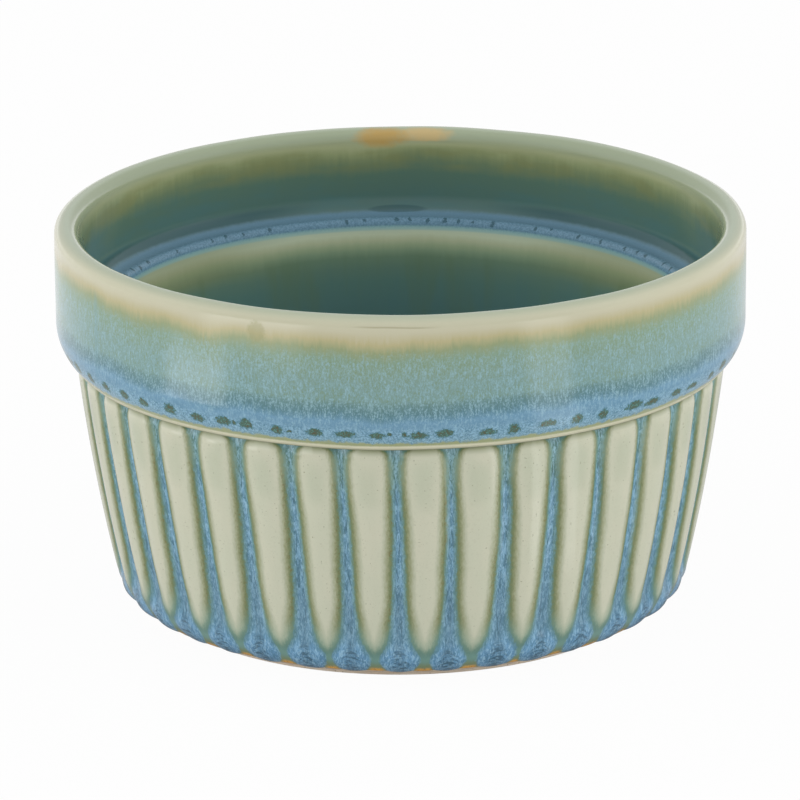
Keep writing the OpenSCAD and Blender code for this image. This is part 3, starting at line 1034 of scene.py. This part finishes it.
# the rows at which the ledge's fillet and its lip start, on the glass and on the clay
fillet_row, lip_row = 13, 30
clay_fillet_row, clay_lip_row = 1, 10
fillet_at, lip_at = (round(float(inside_glass[k, 2]), 1) for k in (fillet_row, lip_row))
print("down the inside, the ledge's fillet starts at", fillet_at, "and its lip at", lip_at)
upper_line = skin_line(inside_glass[:fillet_row + 1], inside_clay[:clay_fillet_row + 1])
ledge_line = skin_line(inside_glass[fillet_row:lip_row + 1], inside_clay[clay_fillet_row:clay_lip_row + 1])
bowl_line = skin_line(inside_glass[lip_row:], inside_clay[clay_lip_row:])
inner_glaze = inside_finish("inner glaze")
pieces = {
    "collar_coat": (skin_line(collar_glass, collar_clay), collar_finish(), uneven(14.0, 0.10, 0.8)),
    "upper_wall_coat": (upper_line, inner_glaze, None),
    "ledge_coat": (ledge_line, inside_finish("ledge glaze"), None),
    "bowl_coat": (bowl_line, inner_glaze, None),
}
made = {}
for name, (line, finish, lift) in pieces.items():
    made[name] = placed(name, turned(name, line, columns_round, lift), finish)

base_glass = travelled(np.vstack([
    [(0, recess_h)],
    straight((0, recess_h), (recess_c[0], recess_h), 6),
    arc(recess_c, recess_round, 90, 0, 6)]))
base_clay = np.vstack([[(0, recess_h + coat)], arc(recess_c, recess_round + coat, 90, 0, 6)])
base_mesh = turned("base_coat", skin_line(base_glass, base_clay), 240)
made["base_coat"] = placed("base_coat", base_mesh, base_finish())

# %% [markdown]
# ## Riding
#
# Every piece says which solid it stands for, which finish of the record it takes, and which body it rides
# on. The dish has no joints, so there is one body.

# %% Tie the pieces to the frame
stands_for = {
    clay_body: ("stoneware_body", "stoneware"),
    made["collar_coat"]: ("collar_glaze", "collar_glaze"),
    rib_coat: ("rib_glaze", "rib_glaze"),
    blue_runs: ("groove_glaze", "groove_glaze"),
    made["upper_wall_coat"]: ("upper_wall_glaze", "inner_glaze"),
    made["ledge_coat"]: ("ledge_glaze", "ledge_glaze"),
    made["bowl_coat"]: ("bowl_glaze", "inner_glaze"),
    made["base_coat"]: ("base_glaze", "base_glaze")}
for piece, (node, slot) in stands_for.items():
    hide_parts(node)
    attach(piece, "root")

# %% [markdown]
# ## Table, light and camera
#
# The dish stands on a white table in a light tent, between two soft lamps. What glaze mirrors is as much a
# part of its look as its colour, so the table has two faces. For light that it scatters it is a matt white
# sheet, nearly pure white to the camera. In a mirror it shows the levels of a studio floor: grey in front and
# white behind, with a painted shadow that makes it darkest close round the dish, and three bright cards,
# which give the pale patches on the collar. The tent is white to the camera and dimmer as a lamp. The two
# lamps light the glaze, and aren't mirrored in it.

# %% Table
def table_finish():
    f = Finish("white table")
    matt = f.add("ShaderNodeBsdfDiffuse", None, {"Color": (0.9, 0.9, 0.9)})
    glow = f.add("ShaderNodeEmission", None, {"Color": (1.0, 1.0, 1.0), "Strength": 1.0})
    brightest = 3.6
    screen = f.add("ShaderNodeEmission", None, {"Color": (1.0, 1.0, 1.0), "Strength": brightest})
    unlit = f.add("ShaderNodeEmission", None, {"Color": (0.0, 0.0, 0.0), "Strength": 0.0})
    rays = f.add("ShaderNodeLightPath").socket.node
    seen = Wire(f, rays.outputs["Is Camera Ray"]) * 0.96
    mirrored = Wire(f, rays.outputs["Is Glossy Ray"]).most(Wire(f, rays.outputs["Is Transmission Ray"]))
    x, y = f.axes()
    far = (x * x + y * y + 1.0).root()

    def towards(side, back):
        """How nearly a place lies in this direction from the dish, as a cosine."""
        return (x * side + y * back) / far

    # the floor: darker in front, with a painted shadow near the dish, darker again straight behind it
    back = y / far
    right = (x / far).rise(0.0, 0.5)
    white = 0.79 + back.rise(-0.6, -0.44) * (0.22 - 0.11 * right - 0.33 * far.fade(110.0, 190.0))
    white = white - (0.1 + 0.1 * right) * back.rise(0.75, 0.99)
    # a painted shadow round and under the dish, seen only in the mirrored floor
    near = 0.25 + 0.75 * far.rise(foot_r + 2.4, rim_r - 1.5)

    # the bright cards
    left_card = towards(-0.886, -0.463).rise(0.962, 0.995) * far.rise(150.0, 210.0)
    left_card = left_card * (1.0 - far.rise(222.0, 248.0) * 0.85)
    left_wing = towards(-0.7, -0.714).rise(0.93, 0.98) * far.rise(238.0, 250.0) * 0.7
    right_card = towards(0.695, -0.719).rise(0.986, 0.997) * far.rise(62.0, 80.0) * 0.55
    share = (white * near / brightest).most(left_card).most(left_wing).most(right_card)
    plain = f.add("ShaderNodeMixShader", None, {0: seen, 1: matt, 2: glow})
    reflected = f.add("ShaderNodeMixShader", None, {0: share, 1: unlit, 2: screen})
    f.end(f.add("ShaderNodeMixShader", None, {0: mirrored, 1: plain, 2: reflected}))
    return f.material


bpy.ops.mesh.primitive_circle_add(vertices=96, radius=4.0, fill_type="NGON")
table = bpy.context.object
table.name = "table"
table.location.z = -0.03 * MM
table.data.materials.append(table_finish())

# %% Light
def tent():
    """White walls that dim towards the roof. The camera sees plain white."""
    world = bpy.data.worlds.new("light tent")
    world.use_nodes = True
    b = Bench(world.node_tree)
    world.node_tree.nodes.clear()
    where = b.add("ShaderNodeTexCoord", out="Generated")
    back, up = (b.add("ShaderNodeSeparateXYZ", None, {0: where}, out=axis) for axis in "YZ")
    rays = b.add("ShaderNodeLightPath").socket.node
    seen = Wire(b, rays.outputs["Is Camera Ray"])
    walls = 0.82 - 0.3 * up.rise(0.25, 0.95)
    mirrored = Wire(b, rays.outputs["Is Glossy Ray"])
    walls = walls * (1.0 - mirrored * (0.2 + 0.55 * back.fade(-0.6, -0.1)))
    walls = walls + mirrored * 0.6 * back.rise(0.2, 0.8) * up.fade(0.03, 0.2)
    sky = b.add("ShaderNodeBackground", None, {"Color": (1.0, 1.0, 1.0), "Strength": walls.most(seen)})
    last = world.node_tree.nodes.new("ShaderNodeOutputWorld")
    world.node_tree.links.new(sky.socket, last.inputs["Surface"])
    bpy.context.scene.world = world


def lamp(name, place, target, size, power):
    """A soft box that lights the glaze, but isn't mirrored in it."""
    light = bpy.data.lights.new(name, "AREA")
    light.shape, light.size, light.size_y, light.energy = "RECTANGLE", *size, power
    holder = bpy.data.objects.new(name, light)
    holder.location = place
    holder.rotation_euler = (Vector(target) - Vector(place)).to_track_quat("-Z", "Y").to_euler()
    holder.visible_glossy = False
    bpy.context.scene.collection.objects.link(holder)


tent()
lamp("left", (-1.15, -0.35, 0.5), (0, 0, 0.03), (1.2, 1.0), 6.0)
lamp("right", (1.15, -0.35, 0.5), (0, 0, 0.03), (1.2, 1.0), 6.0)
print("lit by", len(bpy.data.lights), "lamps and the", bpy.context.scene.world.name)

# %% Camera
# fitted to the rim's two ellipses: the lens, the place of the rim's middle in the picture and how far it is
frame_px, focal_px, rim_at, rim_far = 800, 6619.0, (401.4, 216.6), 1.1
raised, rolled, round_by = math.radians(16.361), math.radians(0.4), math.radians(0.5)
spin = Euler((0, 0, round_by)).to_matrix()
eye = bpy.data.cameras.new("camera")
eye.sensor_width, eye.lens, eye.clip_end = 36.0, focal_px * 36.0 / frame_px, 20.0
camera = bpy.data.objects.new("camera", eye)
from_rim = spin @ Vector((0, -math.cos(raised), math.sin(raised)))
camera.location = Vector((0, 0, height * MM)) + rim_far * from_rim
pitch_down = raised + math.atan((frame_px / 2 - rim_at[1]) / focal_px)
aside = math.atan((rim_at[0] - frame_px / 2) / focal_px)
facing = spin @ Euler((0, 0, aside)).to_matrix() @ Euler((math.radians(90) - pitch_down, 0, 0)).to_matrix()
camera.rotation_euler = (facing @ Euler((0, 0, -rolled)).to_matrix()).to_euler()
bpy.context.scene.collection.objects.link(camera)
bpy.context.scene.camera = camera
bpy.context.scene.view_settings.view_transform = "Standard"
print("the camera looks down", round(math.degrees(pitch_down), 1), "degrees from", rim_far, "m")
